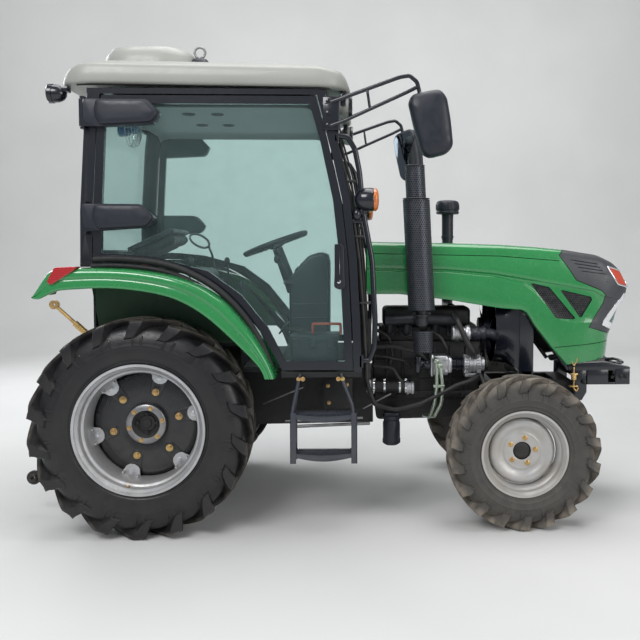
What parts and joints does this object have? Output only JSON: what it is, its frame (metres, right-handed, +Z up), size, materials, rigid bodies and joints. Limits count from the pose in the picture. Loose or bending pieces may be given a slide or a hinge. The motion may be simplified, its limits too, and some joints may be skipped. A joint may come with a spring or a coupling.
{
  "type": "farm tractor",
  "caption": "Compact farm tractor with an enclosed glazed cab, tilting bonnet, side exhaust, driven front axle and a three-point rear linkage.",
  "frame": {"origin": "on the ground under the middle of the tractor's length and width", "axes": "+X forward, +Y to the driver's left, +Z up"},
  "size_m": [3.377, 1.6, 2.545],
  "materials": {
    "green_paint": "gloss",
    "grey_plastic": "satin",
    "black_mesh": "satin",
    "lamp_glass": "clear",
    "roof_plastic": "gloss",
    "black_steel": "satin",
    "tinted_glass": "clear",
    "rear_rubber": "matte",
    "front_rubber": "dusty",
    "rim_steel": "satin",
    "cast_black": "satin",
    "bare_metal": "cast",
    "zinc_gold": "zinc plated",
    "black_plastic": "matte",
    "black_fabric": "matte",
    "red_lens": "gloss"
  },
  "bodies": {
    "chassis": {"roof": "roof_plastic", "roof_ring": "black_steel", "cab_frame": "black_steel", "platform": "black_steel", "windscreen": "tinted_glass", "transmission": "cast_black", "engine": "cast_black", "engine_fittings": "bare_metal", "hydraulic_pump": "bare_metal", "oil_filter": "black_steel", "front_frame": "cast_black", "bumper": "black_steel", "front_axle": "cast_black", "radiator": "black_steel", "exhaust": "black_steel", "pre_cleaner": "black_plastic", "seat": "black_fabric", "console": "black_plastic", "steering_wheel": "black_plastic", "work_lamps": "lamp_glass", "tail_lamps": "red_lens", "fuel_tank": "black_plastic", "fender_left": "green_paint", "fender_right": "green_paint", "mirror_left": "black_plastic", "mirror_right": "black_plastic", "grab_rail_left": "black_steel", "grab_rail_right": "black_steel", "step_left": "black_steel", "step_right": "black_steel"},
    "bonnet": {"bonnet": "green_paint", "nose": "grey_plastic", "side_grilles": "black_mesh", "head_lamps": "lamp_glass"},
    "rear_window": {"rear_window_frame": "black_steel", "rear_window_glass": "tinted_glass"},
    "tie_rod": {"tie_rod": "black_steel"},
    "steering_rod": {"steering_rod": "bare_metal"},
    "lift_arms": {"lift_arms": "cast_black"},
    "top_link": {"top_link": "zinc_gold"},
    "rear_wheel_left": {"rear_tyre_left": "rear_rubber", "rear_rim_left": "rim_steel"},
    "front_wheel_left": {"front_tyre_left": "front_rubber", "front_rim_left": "rim_steel"},
    "knuckle_left": {"knuckle_left": "cast_black"},
    "door_left": {"door_left": "black_steel", "door_glass_left": "tinted_glass"},
    "lift_rod_left": {"lift_rod_left": "black_steel"},
    "lower_link_left": {"lower_link_left": "black_steel"},
    "rear_wheel_right": {"rear_tyre_right": "rear_rubber", "rear_rim_right": "rim_steel"},
    "front_wheel_right": {"front_tyre_right": "front_rubber", "front_rim_right": "rim_steel"},
    "knuckle_right": {"knuckle_right": "cast_black"},
    "door_right": {"door_right": "black_steel", "door_glass_right": "tinted_glass"},
    "lift_rod_right": {"lift_rod_right": "black_steel"},
    "lower_link_right": {"lower_link_right": "black_steel"}
  },
  "joints": [
    {"name": "steer_right", "type": "hinge", "parent": "chassis", "child": "knuckle_right", "pos_m": [0.981, -0.47, 0.398], "axis": [0, 0, 1], "range_deg": [-35, 35]},
    {"name": "steer_left", "type": "hinge", "parent": "chassis", "child": "knuckle_left", "pos_m": [0.981, 0.47, 0.398], "axis": [0, 0, 1], "range_deg": [-35, 35]},
    {"name": "tie_rod_pin", "type": "hinge", "parent": "knuckle_right", "child": "tie_rod", "pos_m": [0.811, -0.47, 0.366], "axis": [0, 0, 1], "range_deg": [-35, 35]},
    {"name": "steering_rod_slide", "type": "slide", "parent": "chassis", "child": "steering_rod", "axis": [0, 1, 0], "range_m": [-0.067, 0.067]},
    {"name": "front_wheel_left_spin", "type": "hinge", "parent": "knuckle_left", "child": "front_wheel_left", "pos_m": [0.981, 0.602, 0.398], "axis": [0, 1, 0], "continuous": true},
    {"name": "rear_wheel_left_spin", "type": "hinge", "parent": "chassis", "child": "rear_wheel_left", "pos_m": [-0.972, 0.64, 0.555], "axis": [0, 1, 0], "continuous": true},
    {"name": "door_left_hinge", "type": "hinge", "parent": "chassis", "child": "door_left", "pos_m": [-1.237, 0.7, 1.8], "axis": [0, 0, 1], "range_deg": [0, 75]},
    {"name": "front_wheel_right_spin", "type": "hinge", "parent": "knuckle_right", "child": "front_wheel_right", "pos_m": [0.981, -0.602, 0.398], "axis": [0, 1, 0], "continuous": true},
    {"name": "rear_wheel_right_spin", "type": "hinge", "parent": "chassis", "child": "rear_wheel_right", "pos_m": [-0.972, -0.64, 0.555], "axis": [0, 1, 0], "continuous": true},
    {"name": "door_right_hinge", "type": "hinge", "parent": "chassis", "child": "door_right", "pos_m": [-1.237, -0.7, 1.8], "axis": [0, 0, -1], "range_deg": [0, 75]},
    {"name": "rear_window_hinge", "type": "hinge", "parent": "chassis", "child": "rear_window", "pos_m": [-1.235, 0, 2.238], "axis": [0, 1, 0], "range_deg": [0, 35]},
    {"name": "bonnet_hinge", "type": "hinge", "parent": "chassis", "child": "bonnet", "pos_m": [0.178, 0, 1.478], "axis": [0, -1, 0], "range_deg": [0, 45]},
    {"name": "lift_shaft_turn", "type": "hinge", "parent": "chassis", "child": "lift_arms", "pos_m": [-1.172, 0, 0.86], "axis": [0, 1, 0], "range_deg": [0, 34]},
    {"name": "lower_link_left_pivot", "type": "hinge", "parent": "chassis", "child": "lower_link_left", "pos_m": [-1.032, 0.215, 0.38], "axis": [0, 1, 0], "range_deg": [0, 34]},
    {"name": "lift_rod_left_pin", "type": "hinge", "parent": "lift_arms", "child": "lift_rod_left", "pos_m": [-1.49015, 0.3, 0.77237], "axis": [0, 1, 0], "range_deg": [-34, 0]},
    {"name": "lower_link_right_pivot", "type": "hinge", "parent": "chassis", "child": "lower_link_right", "pos_m": [-1.032, -0.215, 0.38], "axis": [0, 1, 0], "range_deg": [0, 34]},
    {"name": "lift_rod_right_pin", "type": "hinge", "parent": "lift_arms", "child": "lift_rod_right", "pos_m": [-1.49015, -0.3, 0.77237], "axis": [0, 1, 0], "range_deg": [-34, 0]},
    {"name": "top_link_pivot", "type": "hinge", "parent": "chassis", "child": "top_link", "pos_m": [-1.264, 0, 0.77], "axis": [0, 1, 0], "range_deg": [-60, 8]}
  ],
  "couplings": [
    {"joint": "steer_left", "follows": "steer_right", "ratio": 1},
    {"joint": "tie_rod_pin", "follows": "steer_right", "ratio": -1},
    {"joint": "steering_rod_slide", "follows": "steer_right", "m_per_rad": 0.10798},
    {"joint": "lower_link_left_pivot", "follows": "lift_shaft_turn", "ratio": 1},
    {"joint": "lift_rod_left_pin", "follows": "lift_shaft_turn", "ratio": -1},
    {"joint": "lower_link_right_pivot", "follows": "lift_shaft_turn", "ratio": 1},
    {"joint": "lift_rod_right_pin", "follows": "lift_shaft_turn", "ratio": -1}
  ]
}
